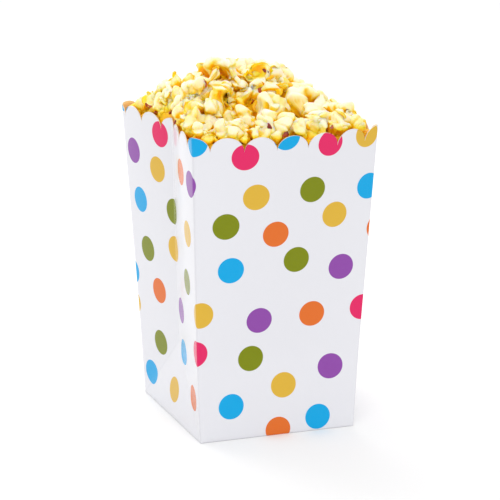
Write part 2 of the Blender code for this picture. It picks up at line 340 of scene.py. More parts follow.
def board_point(u, z):
    """Outer face of the board at u panels round from the front's left corner, at height z."""
    u, z = np.broadcast_arrays(np.round(u, 9) % 4, np.asarray(z, float))
    t = z / RIM_HEIGHT
    panel, s = np.floor(u).astype(int), u % 1.0
    panels = [flat_panel(-1, s, t), side_panel(1, s, t), flat_panel(1, s, t), side_panel(-1, s, t)]
    plan = np.choose(panel[..., None], panels)
    return np.concatenate([plan, z[..., None]], -1)


print("front panel's middle at the rim, in mm:", (board_point(0.5, RIM_HEIGHT) / MM).round(1))

# %% [markdown]
# ## Round folds
#
# Board never folds to a knife edge: its fibres crush, and the outer face turns over a radius of about a
# millimetre. Bevelling the edges would work on a plain box, but the slanted folds of the pleats fade out.
# Here the surface is averaged over a small window of u and z instead. A flat face stays as it is, because
# the average of a straight line is its middle, and every fold gets a round back.

# %% The rounded surface
FOLD_WINDOW = 1.0 * MM
PLEAT_WINDOW = 2.5 * MM
WINDOW_STEPS = 5


def soft_board(u, z):
    """Mean plan position over a window of u, as wide as the fold's radius, and of z; the height is kept."""
    total = 0.0
    for step in np.linspace(-1, 1, WINDOW_STEPS):
        for climb in np.linspace(-1, 1, WINDOW_STEPS):
            total = total + board_point(u + step * FOLD_WINDOW / TOP_WIDTH, z + climb * PLEAT_WINDOW)
    points = total / WINDOW_STEPS**2
    points[..., 2] = z
    return points


print("folds rounded over", 2 * FOLD_WINDOW / MM, "mm")

# %% [markdown]
# ## The grid over the blank
#
# The rim has six round scallops on each panel, with most folds at the middle of a scallop. They aren't quite
# even, so two short lists tell how many scallops come before some places round the carton. Columns spaced by
# a cosine within each scallop crowd at the notches, where the arc is steep, so that every notch is sharp. A
# few more columns stand beside each fold. The rows run from the middle of the base out to its edge, round
# the bottom fold, up the wall, and the last ones are stretched so that they end on the scallops.

# %% Columns and rows
COLUMNS_PER_SCALLOP = 14
FOLDS = np.array([0, 1, 1.5, 2, 3, 3.5])
BESIDE_FOLDS = np.array([-1.0, -0.6, -0.25, 0.25, 0.6, 1.0]) * MM
WALL_ROWS = 74
RIM_ROWS = 7
SHOULDER = 3.0 * MM
FOOT_RADIUS = 0.6 * MM
FOOT_ANGLES = np.radians([0, 30, 60, 90])
BASE_SHARES = np.array([0.25, 0.6, 0.9, 0.98])

turns = np.arange(COLUMNS_PER_SCALLOP) * math.pi / COLUMNS_PER_SCALLOP
numbers = (np.arange(4 * SCALLOPS)[:, None] - np.cos(turns) / 2).ravel()
scallop_columns = np.interp(numbers, SCALLOP_NUMBERS, SCALLOP_PLACES) % 4
fold_columns = ((FOLDS[:, None] + BESIDE_FOLDS / TOP_WIDTH) % 4).ravel()
columns = np.unique(np.round(np.concatenate([scallop_columns, fold_columns]), 6) % 4)

numbers = np.interp(columns, SCALLOP_PLACES, SCALLOP_NUMBERS)
from_crest = numbers - np.round(numbers)
rim_top = RIM_HEIGHT - SCALLOP_DEPTH * (1 - np.sqrt(np.maximum(1 - 4 * from_crest**2, 0)))
shoulder = RIM_HEIGHT - SCALLOP_DEPTH - SHOULDER
wall_heights = np.linspace(FOOT_RADIUS, shoulder, WALL_ROWS)
rim_shares = np.linspace(0, 1, RIM_ROWS + 1)[1:, None]
rim_heights = blend(shoulder, rim_top, rim_shares)
print(len(columns), "columns round the carton")


# %% Points of the carton
def inset(points, distance):
    """Moves a ring of points towards the carton's axis by a distance."""
    moved = points.copy()
    away = np.linalg.norm(points[..., :2], axis=-1, keepdims=True)
    moved[..., :2] *= 1 - distance / away
    return moved


bottom = soft_board(columns, FOOT_RADIUS)
base_rings = [bottom * [share, share, 0] for share in BASE_SHARES]
foot_rings = []
for angle in FOOT_ANGLES[:-1]:
    ring = inset(bottom, FOOT_RADIUS * (1 - math.sin(angle)))
    ring[:, 2] = FOOT_RADIUS * (1 - math.cos(angle))
    foot_rings.append(ring)
wall_rings = soft_board(columns[None, :], wall_heights[:, None])
rim_rings = soft_board(columns[None, :], rim_heights)
rings = np.concatenate([base_rings, foot_rings, wall_rings, rim_rings])
base_middle = np.zeros((1, 3))
carton_points = np.concatenate([rings.reshape(-1, 3), base_middle])

row_count, column_count = rings.shape[:2]
grid = np.arange(row_count * column_count).reshape(row_count, column_count)
following = np.roll(grid, -1, axis=1)
quads = np.stack([grid[:-1], following[:-1], following[1:], grid[1:]], -1).reshape(-1, 4)
fan = np.stack([following[0], grid[0], np.full(column_count, len(carton_points) - 1)], -1)
print(len(quads), "faces on the outer side of the board")

# %% [markdown]
# ## Dots on the blank
#
# The print is a plain pattern: round dots of one size in six colours, scattered evenly over white, and cut
# wherever the blank is cut or folded. The dots are placed on the flat blank, as a printer would: each by its
# panel, its distance from the panel's middle line, and its height, in millimetres. The front and left panels
# follow the photograph. The back and right panels aren't seen, so they take the same
# layouts mirrored, with the colours moved on, and any dot that comes too near another is left out.

# %% Layout of the dots
DOT_RADIUS = 6.2
DOT_GAP = 2.5
INKS = {
    "green": paint(122, 132, 0), "yellow": paint(216, 174, 58), "orange": paint(220, 109, 40),
    "blue": paint(0, 162, 220), "purple": paint(139, 72, 162), "pink": paint(221, 37, 98),
}
FRONT, RIGHT, BACK, LEFT = range(4)
FRONT_DOTS = {
    "green": [(11.4, 120.5), (-28.7, 105.2), (6, 86.5), (-13.8, 39)],
    "yellow": [(38.2, 144), (-39.2, 62.8), (-15.5, 118.8), (23.6, 107), (2.6, 24.3)],
    "orange": [(47.2, 98), (0, 2.7), (-5, 100), (15.5, 58.5)],
    "blue": [(-3.3, 147.0), (-44.6, 144.8), (40.8, 118.8), (-25.4, 83.7), (-23.3, 16.5), (19.9, 6.9)],
    "purple": [(28.7, 80.7), (-10.4, 57.6), (25.8, 31.3)],
    "pink": [(-21.7, 138.3), (18.6, 142.3), (40.6, 59.5), (-41.5, 44)],
}
LEFT_DOTS = {
    "green": [(-0.3, 102.3), (-26.2, 78.1), (-18.9, 32.1), (25.3, 74.9), (21.5, 151.4)],
    "yellow": [(-12.8, 120.4), (-0.2, 84), (-44, 46.7), (0, 13.9), (30.7, 99.5)],
    "orange": [(-17.3, 59), (22.6, 126.9), (28.1, 18.9)],
    "blue": [(-30.3, 101.9), (-29.9, 13.4), (10.3, 35.8), (-42.4, 149.5)],
    "purple": [(-34.2, 125.5), (39.0, 124.9), (8.1, 55.9)],
    "pink": [(-9.2, 138.1), (-47.2, 79.4)],
}


def panel_width(up):
    """Width of a panel of the blank at a height, both in millimetres."""
    return blend(BASE_WIDTH, TOP_WIDTH, up * MM / RIM_HEIGHT) / MM


def with_copies(dot):
    """A dot, and where it lies when measured from the middle lines of the panels beside its own."""
    panel, across, up, ink = dot
    width = panel_width(up)
    return [dot, ((panel + 1) % 4, across - width, up, ink), ((panel - 1) % 4, across + width, up, ink)]


def listed(layout, panel, mirrored):
    """The dots of a layout on a panel. A mirrored layout has its colours moved on by two."""
    inks = list(INKS)
    return [
        (panel, -across if mirrored else across, up, (inks.index(name) + 2 * mirrored) % len(inks))
        for name, places in layout.items() for across, up in places
    ]


dots = []
for dot in (
    listed(FRONT_DOTS, FRONT, False) + listed(LEFT_DOTS, LEFT, False)
    + listed(FRONT_DOTS, BACK, True) + listed(LEFT_DOTS, RIGHT, True)
):
    spaces = [
        math.dist(copy[1:3], other[1:3]) for copy in with_copies(dot)
        for old in dots for other in with_copies(old) if copy[0] == other[0]
    ]
    if not spaces or min(spaces) > 2 * DOT_RADIUS + DOT_GAP:
        dots.append(dot)
print(len(dots), "dots on the blank")

# %% [markdown]
# ## From the blank to the shader
#
# A shader could measure the distance to every one of the dots, but only the nearest one counts. So
# the nearest dot is found here for each face, and each of the face's corners gets its place measured from
# that dot's centre, with the number of its ink. Between the corners the values run on in straight lines, so
# the shader sees a perfectly round edge, however coarse the mesh is.

# %% Places of the corners on the blank
FAR_FROM_DOTS = 99.0


def blank_places(faces):
    """Panel of each face, and the distance across and the height of its corners on the blank, in mm."""
    column = faces[:, :2] % column_count
    left = columns[column[:, 0]]
    right = np.where(column[:, 1] == 0, 4.0, columns[column[:, 1]])
    panel = np.floor((left + right) / 2).astype(int)
    share = np.stack([left, right, right, left], 1) - panel[:, None] - 0.5
    up = carton_points[faces, 2] / MM
    fold_reach = np.linalg.norm(bottom[column, :2], axis=2)[:, [0, 1, 1, 0]]
    below = (np.linalg.norm(carton_points[faces, :2], axis=2) - fold_reach) / MM
    up = np.where(up < FOOT_RADIUS / MM, np.minimum(below, 0), up)
    return panel, share * panel_width(np.maximum(up, 0)), up


def nearest_dots(panel, across, up):
    """For each corner, its place measured from the centre of its face's nearest dot, and the dot's ink."""
    copies = np.array([copy for dot in dots for copy in with_copies(dot)])
    middle = np.stack([across.mean(1), up.mean(1)], 1)
    values = np.zeros(across.shape + (3,))
    for number in range(4):
        own = copies[copies[:, 0] == number]
        here = panel == number
        near = np.linalg.norm(middle[here, None] - own[None, :, 1:3], axis=2).argmin(1)
        values[here, :, 0] = across[here] - own[near, 1, None]
        values[here, :, 1] = up[here] - own[near, 2, None]
        values[here, :, 2] = own[near, 3, None]
    return values


face_panels, across, up = blank_places(quads)
dot_values = nearest_dots(face_panels, across, up)
fan_values = np.full((len(fan), 3, 3), FAR_FROM_DOTS)
inked_corners = np.hypot(dot_values[..., 0], dot_values[..., 1]) < DOT_RADIUS
print("corners with ink:", round(100 * inked_corners.mean()), "%")

# %% [markdown]
# ## Painted shade and a rougher coat along the folds
#
# Near the folds the white is painted a shade greyer, in patches, and the coat is made a little rougher
# there, as folding cracks it a little. The grey is painted shade, the darker band that a rounded fold shows.
# The
# shader needs to know how far each point is from the nearest fold. On the blank every fold is a straight
# line:
# the panel's two edges, a side's middle crease, its two slanted folds, and the bottom edge.

# %% Distance to the nearest fold
FAR_FROM_FOLDS = 50.0


def fold_distance(panel, across, up):
    """Smallest distance, in mm, from a place on the blank to the folds of its panel."""
    edges = panel_width(up) / 2 - np.abs(across)
    side = (panel % 2 == 1)[:, None]
    pleat = PLEAT_HEIGHT / MM
    middle = np.where(side & (up > pleat), np.abs(across), FAR_FROM_FOLDS)
    slant = np.abs(panel_width(0) / 2 - np.abs(across) - up) / math.sqrt(2)
    slanted = np.where(side & (up < pleat), slant, FAR_FROM_FOLDS)
    return np.minimum.reduce([edges, middle, slanted, np.abs(up)])


fold_values = np.abs(fold_distance(face_panels, across, up))
print("nearest fold at most", round(fold_values.max()), "mm away")

# %% [markdown]
# ## Printed board
#
# The board is white, printed, and sealed with a clear gloss coat. So the material is white paper with a
# colour from the ink's number, under a Principled coat. The coat matters more than it seems to: at a low
# angle it mirrors the white room, which washes out the dots on the folded side. The surface isn't quite
# flat, so a weak bump, broad waves and fine fibres together, breaks the reflections. The fibres are wanted
# on the bare inside and on the cut edge too, so they are a group, with both strengths as inputs.

# %% Group: paper fibres
WAVE_SCALE, WAVE_DEPTH = 45.0, 1.2 * MM
FIBRE_SCALE, FIBRE_DEPTH = 2600.0, 0.1 * MM


def group_with(name, inputs, outputs):
    """An empty node group with named inputs and outputs, and its input and output nodes."""
    group = bpy.data.node_groups.new(name, "ShaderNodeTree")
    for label, kind, value in inputs:
        group.interface.new_socket(label, in_out="INPUT", socket_type=kind).default_value = value
    for label, kind in outputs:
        group.interface.new_socket(label, in_out="OUTPUT", socket_type=kind)
    return group, group.nodes.new("NodeGroupInput"), group.nodes.new("NodeGroupOutput")


fibres, fibres_in, fibres_out = group_with(
    "paper_fibres",
    [("Fibre strength", "NodeSocketFloat", 0.1), ("Wave strength", "NodeSocketFloat", 0.3)],
    [("Normal", "NodeSocketVector"), ("Mottle", "NodeSocketFloat")],
)
wave = noise(fibres, WAVE_SCALE, 2.0)
fine = noise(fibres, FIBRE_SCALE, 3.0)
wave_bump = add_node(fibres, "Bump", [
    ("Strength", fibres_in.outputs["Wave strength"]), ("Distance", WAVE_DEPTH), ("Height", wave),
])
fine_bump = add_node(fibres, "Bump", [
    ("Strength", fibres_in.outputs["Fibre strength"]), ("Distance", FIBRE_DEPTH),
    ("Height", fine), ("Normal", wave_bump.outputs[0]),
])
feed(fibres, fibres_out, Normal=fine_bump.outputs[0], Mottle=fine)
print("paper fibres:", len(fibres.nodes), "nodes")


# %% Material: printed, coated face
BOARD_ROUGHNESS, WORN_ROUGHNESS = 0.42, 0.6
INK_EDGE = 0.06
FOLD_SHADE_WIDTH = 0.9

board_paint, tree, shader = new_material(
    "printed_board", BOARD_ROUGHNESS, Coat_Weight=1.0, Coat_Roughness=0.16, Coat_IOR=1.3,
    Specular_IOR_Level=0.0,
)
dot_place = add_node(tree, "Attribute", attribute_name="dot").outputs["Vector"]
parts = add_node(tree, "SeparateXYZ", [(0, dot_place)])
flat_place = add_node(tree, "CombineXYZ", [(0, parts.outputs[0]), (1, parts.outputs[1])])
from_centre = add_node(tree, "VectorMath", [(0, flat_place.outputs[0])], operation="LENGTH")
inked = span(tree, from_centre.outputs["Value"], DOT_RADIUS - INK_EDGE, DOT_RADIUS + INK_EDGE, 1.0, 0.0)
ink_share = combine(tree, "ADD", parts.outputs[2], 0.5)
ink_stops = [(number / len(INKS), colour) for number, colour in enumerate(INKS.values())]
ink = add_ramp(tree, combine(tree, "DIVIDE", ink_share, len(INKS)), ink_stops, "CONSTANT")

fold = add_node(tree, "Attribute", attribute_name="fold").outputs["Fac"]
paper = add_node(tree, "Group", [("Fibre strength", 0.05), ("Wave strength", 0.12)], node_tree=fibres)
# Painted shade: the white is greyed near the folds, in patches.
near_fold_shade = span(tree, fold, 0.0, FOLD_SHADE_WIDTH, 0.6, 0.0)
fold_shade = combine(tree, "MULTIPLY", near_fold_shade, paper.outputs["Mottle"])
white = mix(tree, fold_shade, paint(224, 224, 229), paint(200, 200, 206))
dulled = span(tree, fold_shade, 0.0, 0.4, BOARD_ROUGHNESS, WORN_ROUGHNESS)
printed = mix(tree, inked, white, ink)
feed(tree, shader, Base_Color=printed, Roughness=dulled, Normal=paper.outputs["Normal"])
print("board printed in", len(INKS), "inks")


# %% Materials: bare inside and cut edge
def bare_board(name, colour, stain):
    """Uncoated board, with the butter's stain in uneven patches."""
    material, tree, shader = new_material(name, 0.8, Specular_IOR_Level=0.3)
    patch = span(tree, noise(tree, 60.0, 4.0), 0.4, 0.65)
    paper = add_node(tree, "Group", [("Fibre strength", 0.3)], node_tree=fibres)
    feed(tree, shader, Base_Color=mix(tree, patch, colour, stain), Normal=paper.outputs["Normal"])
    return material


# The inside's tan is partly the board's own warm cream and partly painted light, the warm glow that the
# popcorn throws onto it; the patches are butter stains.
inside_paint = bare_board("bare_inside", paint(240, 214, 168), paint(232, 190, 120))
edge_paint = bare_board("cut_edge", paint(240, 238, 232), paint(232, 222, 200))
print("uncoated:", inside_paint.name, "and", edge_paint.name)

# %% [markdown]
# ## The carton
#
# The surface is only the outer face. A Solidify modifier gives it the board's thickness, inwards, and puts
# the bare inside and the cut edge on materials of their own.

# %% Carton
carton = make_piece(
    "paper_carton", carton_points, quads.tolist() + fan.tolist(),
    [board_paint, inside_paint, edge_paint], "carton",
)
corner_dots = np.concatenate([dot_values.reshape(-1, 3), fan_values.reshape(-1, 3)])
corner_folds = np.concatenate([fold_values.ravel(), np.full(fan.size, FAR_FROM_FOLDS)])
add_values(carton, "dot", "FLOAT_VECTOR", "CORNER", corner_dots)
add_values(carton, "fold", "FLOAT", "CORNER", corner_folds)
thickness = carton.modifiers.new("board_thickness", "SOLIDIFY")
thickness.thickness = BOARD
thickness.offset = -1.0
thickness.use_even_offset = True
thickness.material_offset = 1
thickness.material_offset_rim = 2
print("carton made of", len(carton.data.polygons), "faces before it is thickened")

# %% [markdown]
# ## The heap
#
# Popcorn in a carton lies as it fell: a mound that runs down to the rim on all sides, with flakes in every
# direction. The plain model has its flakes in rings that follow the walls, from a seeded draw. The same
# draw is repeated here, number for number, so the fine flakes come out where the plain ones are.

# %% Sizes of the heap
HEAP_EDGE, HEAP_TOP, HEAP_REACH = 4.1 * MM, 20.2 * MM, 38.0 * MM
HEAP_SUMMIT = (-6.1 * MM, 5.7 * MM)
WALL_GAP = 0.9 * MM
FLAKE_KINDS = 10
FLAKE_SIZES = (0.88, 1.12)
FLAKE_SINK = (2.0 * MM, 7.5 * MM)
HEART_RADIUS = 4.3 * MM
FLAKE_RINGS = ((18, 0.98, 0.8), (14, 0.75, 1.0), (9, 0.5, 1.1), (5, 0.27, 1.1), (1, 0.06, 1.1))
FLAKE_SEED = 51046
JITTER = 1.8 * MM
LEAST_INSIDE = 0.75
NUDGE = 0.3 * MM
MOST_NUDGES = 12
WALL_COLUMNS = 48


# %% The mound and the walls round it
def heap_height(x, y):
    """Height of the mound: 1 minus the squared distance from its summit, above an even edge."""
    away = np.hypot(x - HEAP_SUMMIT[0], y - HEAP_SUMMIT[1]) / HEAP_REACH
    return RIM_HEIGHT + blend(HEAP_EDGE, HEAP_TOP, np.clip(1 - away**2, 0.0, 1.0))


def room_to_wall(points):
    """Distance in plan from each point to the board's outer face at its height, negative outside."""
    turns = np.arange(WALL_COLUMNS) * 4 / WALL_COLUMNS
    starts = board_point(turns, np.minimum(points[:, 2:], RIM_HEIGHT))[..., :2]
    step = np.roll(starts, -1, axis=1) - starts
    away = points[:, None, :2] - starts
    share = np.clip((away * step).sum(2) / (step**2).sum(2), 0, 1)
    distance = np.linalg.norm(away - step * share[..., None], axis=2).min(1)
    spans = (away[..., 1] < 0) != (away[..., 1] < step[..., 1])
    left_of = away[..., 0] * step[..., 1] < away[..., 1] * step[..., 0]
    crossed = spans & (left_of == (step[..., 1] > 0))
    return np.where(crossed.sum(1) % 2 == 1, distance, -distance)


def flake_kind(random):
    """One kind of flake, as the middles and radii of its lobes: a small heart with petals round it."""
    petals = int(random.integers(4, 7))
    turns = 2 * math.pi * (np.arange(petals) + 0.35 * random.random(petals)) / petals
    climbs = np.radians(random.uniform(-35, 60, petals))
    reaches = random.uniform(5.6, 7.8, petals) * MM
    directions = [np.cos(turns) * np.cos(climbs), np.sin(turns) * np.cos(climbs), np.sin(climbs)]
    middles = np.concatenate([np.zeros((1, 3)), np.stack(directions, 1) * reaches[:, None]])
    radii = np.concatenate([[HEART_RADIUS], random.uniform(3.3, 5.3, petals) * MM])
    return middles, radii


def place_inside(x, y, sink, turn, kind):
    """A flake's heart on the heap, moved towards the middle until its lobes are clear of the board."""
    middles, radii = kind
    centres = middles @ np.array(turn).T
    reaches = radii * turn.median_scale + WALL_GAP
    for _ in range(MOST_NUDGES):
        heart = np.array([x, y, float(heap_height(x, y)) - sink])
        above = np.maximum(heart[2] + centres[:, 2] - RIM_HEIGHT, 0)
        widths = np.sqrt(np.maximum(reaches**2 - above**2, (LEAST_INSIDE * reaches) ** 2))
        short = (widths - room_to_wall(heart + centres)).max()
        if short <= 0:
            return heart
        kept = 1 - (short + NUDGE) / math.hypot(x, y)
        x, y = x * kept, y * kept
    return None


def flake_places(random, kinds, rings, sinks):
    """Flakes in rings that follow the walls, as (heart, turn, kind) triples."""
    places = []
    for ring, (count, share, size) in enumerate(rings):
        for n in range(count):
            wall = board_point(4 * (n + ring / 2) / count, RIM_HEIGHT)[:2]
            x, y = wall * share + random.uniform(-JITTER, JITTER, 2)
            kind = int(random.integers(len(kinds)))
            turn = Euler(random.uniform(0, 2 * math.pi, 3)).to_matrix() * size * random.uniform(*FLAKE_SIZES)
            heart = place_inside(x, y, random.uniform(*sinks) * size, turn, kinds[kind])
            if heart is not None:
                places.append((heart, np.array(turn), kind))
    return places


random = np.random.default_rng(FLAKE_SEED)
kinds = [flake_kind(random) for _ in range(FLAKE_KINDS)]
large_places = flake_places(random, kinds, FLAKE_RINGS, FLAKE_SINK)
print(len(large_places), "flakes on the heap")

# %% [markdown]
# ## Smaller flakes between the large ones
#
# Large flakes alone leave bare gaps. Real popcorn has smaller, half-popped flakes that drop into them, and
# along the walls. They take the first four kinds, smaller and set lower, in rings of their own.

# %% Places of the small flakes
SMALL_RINGS = (
    (26, 0.98, 0.8), (19, 0.82, 0.85), (15, 0.64, 0.85), (10, 0.44, 0.85), (5, 0.24, 0.85), (1, 0.05, 0.85),
)
SMALL_SINK = (5.0 * MM, 12.0 * MM)
SMALL_KINDS = 4
small_random = np.random.default_rng(FLAKE_SEED + 1)
small_places = flake_places(small_random, kinds[:SMALL_KINDS], SMALL_RINGS, SMALL_SINK)
print(len(small_places), "small flakes")

# %% [markdown]
# ## One popped flake
#
# A kernel bursts into a few petals round a heart. Each petal is puffed up again into smaller rounded knobs
# with sharp seams between them, which hold the butter. Sculpting each flake would take days, and a noise
# texture alone looks like stone. So a flake is built in three steps, all as whole arrays: a ball grid whose
# points are moved out to the lobes, a slow warp that bends the petals, and puffs pushed out along the
# surface's own normals, in two sizes.

# %% A ball from six square grids
def ball_grid(steps):
    """Directions and quads of a cube blown up to a ball: a face's point (a, b) is along 1, tan a, tan b."""
    slopes = np.tan(np.linspace(-math.pi / 4, math.pi / 4, steps + 1))
    a, b = np.meshgrid(slopes, slopes)
    patches = []
    for axis in range(3):
        for side in (-1, 1):
            patch = np.zeros(a.shape + (3,))
            patch[..., axis] = side
            patch[..., (axis + 1) % 3] = a
            patch[..., (axis + 2) % 3] = b * side
            patches.append(patch / np.linalg.norm(patch, axis=-1, keepdims=True))
    numbers = np.arange(6 * (steps + 1) ** 2).reshape(6, steps + 1, steps + 1)
    near, far = numbers[:, :-1], numbers[:, 1:]
    quads = np.stack([near[..., :-1], near[..., 1:], far[..., 1:], far[..., :-1]], -1).reshape(-1, 4)
    # Neighbouring squares share the points of their edges, which are merged by their rounded place.
    rounded = np.round(np.concatenate(patches).reshape(-1, 3), 5)
    directions, shared = np.unique(rounded, axis=0, return_inverse=True)
    return directions / np.linalg.norm(directions, axis=1, keepdims=True), shared.ravel()[quads]


# %% Lobes, waves and puffs
def lobed_reach(directions, middles, radii):
    """Distance from the heart to the far side of the outermost lobe; past a lobe's edge it dies away."""
    along = directions @ middles.T
    beside = np.sqrt(np.maximum((middles**2).sum(1) - along**2, 0)) / radii
    over = along + radii * np.sqrt(np.maximum(1 - beside**2, 0))
    past = along * np.exp(-3.0 * np.maximum(beside - 1, 0))
    return np.where(beside < 1, over, past).max(1)


def waves(points, wavelength, random, count=14):
    """Smooth unevenness with a spread of 1: a sum of sines that run in random directions."""
    directions = random.normal(size=(count, 3))
    directions /= np.linalg.norm(directions, axis=1, keepdims=True)
    paces = 2 * math.pi / (wavelength * random.uniform(0.7, 1.5, count))
    phases = random.uniform(0, 2 * math.pi, count)
    return np.sin(points @ (directions * paces[:, None]).T + phases).sum(1) / math.sqrt(count / 2)


def puffs(points, count, random):
    """Rounded knobs round random points of the surface: 1 on a knob, 0 where two of them meet far apart."""
    seeds = points[random.choice(len(points), count, replace=False)]
    away = np.linalg.norm(points[:, None] - seeds, axis=2)
    nearest = np.partition(away, 1, axis=1)[:, :2]
    return np.sqrt(np.clip(1 - (nearest[:, 0] / np.maximum(nearest[:, 1], 1e-9)) ** 2, 0, 1))


def surface_normals(points, quads):
    """Each quad's normal is the cross product of its diagonals; a point takes the sum of its quads' ones."""
    across = np.cross(points[quads[:, 2]] - points[quads[:, 0]], points[quads[:, 3]] - points[quads[:, 1]])
    normals = np.zeros_like(points)
    for side in range(4):
        np.add.at(normals, quads[:, side], across)
    return normals / np.linalg.norm(normals, axis=1, keepdims=True)


# %% [markdown]
# ## Templates
#
# Ten kinds of flake are enough for a heap, as no two lie the same way up. Each has one deep cup, where the
# kernel tore open. With its shape each template keeps a value for every point: how high it stands on its
# puff, since the seams and the cup are painted yellower than the knobs, partly for butter and partly as
# painted shade in the hollows.

# %% Flake templates
FLAKE_STEPS = 24
WARP, WARP_LENGTH = 0.9 * MM, 11.0 * MM
KNOB_HEIGHT, CRUMPLE_HEIGHT = 1.9 * MM, 0.25 * MM
KNOB_LEVEL, CRUMPLE_LEVEL = 0.8, 0.7
RIDGE_HEIGHT, RIDGE_LENGTH = 0.3 * MM, 9.0 * MM
CUP_WIDTH, CUP_DEPTH = 4.2 * MM, 3.2 * MM
CRUMPLE_SHARE = 0.3
LARGE_PETALS, LARGE_KNOBS, LARGE_CRUMPLES, LARGE_SEED = 0.95, 18, 50, 100
SMALL_PETALS, SMALL_KNOBS, SMALL_CRUMPLES, SMALL_SEED = 1.15, 10, 30, 200


def flake_template(kind, seed, petal_share, knob_count, crumple_count):
    """One kind of flake, as points, quads, normals and heights on the puffs.

    The points are the lobes' reach times a direction, plus a warp. Along the normals they then move by the
    height of each puff above its level, less the cup, and less the ridges, where a slow wave is far from 0.
    """
    random = np.random.default_rng(seed)
    directions, quads = ball_grid(FLAKE_STEPS)
    middles, radii = kind
    points = directions * lobed_reach(directions, middles, radii * petal_share)[:, None]
    points += WARP * np.stack([waves(points, WARP_LENGTH, random) for _ in range(3)], 1)
    cup_middle = points[random.integers(len(points))]
    cup = np.clip(1 - ((points - cup_middle) ** 2).sum(1) / CUP_WIDTH**2, 0, 1) ** 2
    knobs = puffs(points, knob_count, random)
    moves = KNOB_HEIGHT * (knobs - KNOB_LEVEL) - CUP_DEPTH * cup
    points += surface_normals(points, quads) * moves[:, None]
    crumples = puffs(points, crumple_count, random)
    ridges = np.abs(waves(points, RIDGE_LENGTH, random))
    moves = CRUMPLE_HEIGHT * (crumples - CRUMPLE_LEVEL) - RIDGE_HEIGHT * ridges
    points += surface_normals(points, quads) * moves[:, None]
    heights = knobs * (1 - CRUMPLE_SHARE + CRUMPLE_SHARE * crumples) * (1 - cup)
    return points, quads, surface_normals(points, quads), heights


large_templates = [
    flake_template(kind, LARGE_SEED + number, LARGE_PETALS, LARGE_KNOBS, LARGE_CRUMPLES)
    for number, kind in enumerate(kinds)
]
small_templates = [
    flake_template(kind, SMALL_SEED + number, SMALL_PETALS, SMALL_KNOBS, SMALL_CRUMPLES)
    for number, kind in enumerate(kinds[:SMALL_KINDS])
]
print("points in a flake:", len(large_templates[0][0]), "large,", len(small_templates[0][0]), "small")

# %% [markdown]
# ## How shut in a place is
#
# Light goes into popcorn and comes out warmer, and the butter runs down between the flakes, so what lies
# deep in a gap is amber while what stands free is cream. The renderer can't tell butter where to gather, so
# it is worked out here. The same value also paints shade: the colour it gives is partly butter and partly
# painted shade, the warm shade in the gaps, on the undersides and low by the wall. Three probes stand above
# each point of the surface, and where they come near the lobes of other flakes, the point is shut in.
# Undersides count as partly shut in, and so do places that lie low beside the rim or deep under the mound's
# surface.

# %% Shut-in values
PROBES = (2.0 * MM, 5.0 * MM, 9.0 * MM)
PROBE_MARGIN, MOST_DEPTH = 0.5 * MM, 3 * MM
FULLY_SHUT = 8.0 * MM
UNDERSIDE, UNDERSIDE_FROM = 0.4, 0.6
LOW_PLACES, LOW_FROM, LOW_SPAN = 0.5, RIM_HEIGHT + 2 * MM, 8 * MM
DEEP_PLACES, DEEP_FROM, DEEP_SPAN = 0.55, 2 * MM, 6 * MM
CHUNK = 20000

lobe_middles, lobe_radii = [], []
for heart, turn, kind in large_places + small_places:
    middles, radii = kinds[kind]
    lobe_middles.append(heart + middles @ turn.T)
    lobe_radii.append(radii * np.linalg.norm(turn[0]))
lobe_middles = np.concatenate(lobe_middles).astype(np.float32)
lobe_radii = np.concatenate(lobe_radii).astype(np.float32)


def shut_in_butter_and_shade(points, normals):
    """From 0 in the open to 1.

    It is the summed depth of the probes in the lobes of the heap, each at most MOST_DEPTH, over FULLY_SHUT,
    plus a share each for facing down, for lying low beside the rim, and for lying deep in the mound.
    """
    total = np.zeros(len(points), np.float32)
    for height in PROBES:
        probes = (points + height * normals).astype(np.float32)
        for start in range(0, len(points), CHUNK):
            part = probes[start:start + CHUNK]
            square = (part**2).sum(1)[:, None] + (lobe_middles**2).sum(1) - 2 * part @ lobe_middles.T
            depth = lobe_radii + PROBE_MARGIN - np.sqrt(np.maximum(square, 0))
            total[start:start + CHUNK] += np.clip(depth, 0, MOST_DEPTH).sum(1)
    x, y, z = points.T
    # Painted shade: places low by the wall, places deep in the mound and undersides count as shut in, so
    # they are painted yellower and more amber.
    low = np.clip((LOW_FROM - z) / LOW_SPAN, 0, 1)
    deep = np.clip((heap_height(x, y) - DEEP_FROM - z) / DEEP_SPAN, 0, 1)
    total = total / FULLY_SHUT + UNDERSIDE * np.clip(UNDERSIDE_FROM - normals[:, 2], 0, 1)
    return np.clip(total + LOW_PLACES * low + DEEP_PLACES * deep, 0, 1)


print(len(lobe_radii), "lobes in the heap")

# %% [markdown]
# ## Buttered popcorn
#
# Popped starch is a stiff white foam: matt, and so translucent that light comes back out of the seams warm.
# The butter is yellow, and gathers in the seams and low in the heap. So the colour runs from cream on the
# knobs to yellow in the seams, and to amber deep down between the flakes: partly butter, and partly painted
# shade, as the warm shade of the seams, the undersides and the gaps is painted into the colour. A group
# holds this, so that the core below can have the same colours.

# %% Group: butter and painted shade colour
# Cream to amber: partly butter, partly painted shade; the amber end is the painted shade deep between the
# flakes.
BUTTER_AND_SHADE_STEPS = (
    (0.0, paint(250, 243, 226)), (0.25, paint(251, 237, 190)), (0.5, paint(253, 222, 106)),
    (0.75, paint(255, 210, 20)), (1.0, paint(255, 184, 4)),
)
DRY_ROUGHNESS, BUTTERED_ROUGHNESS = 0.62, 0.38
CRUMB_DEPTH = 0.25 * MM

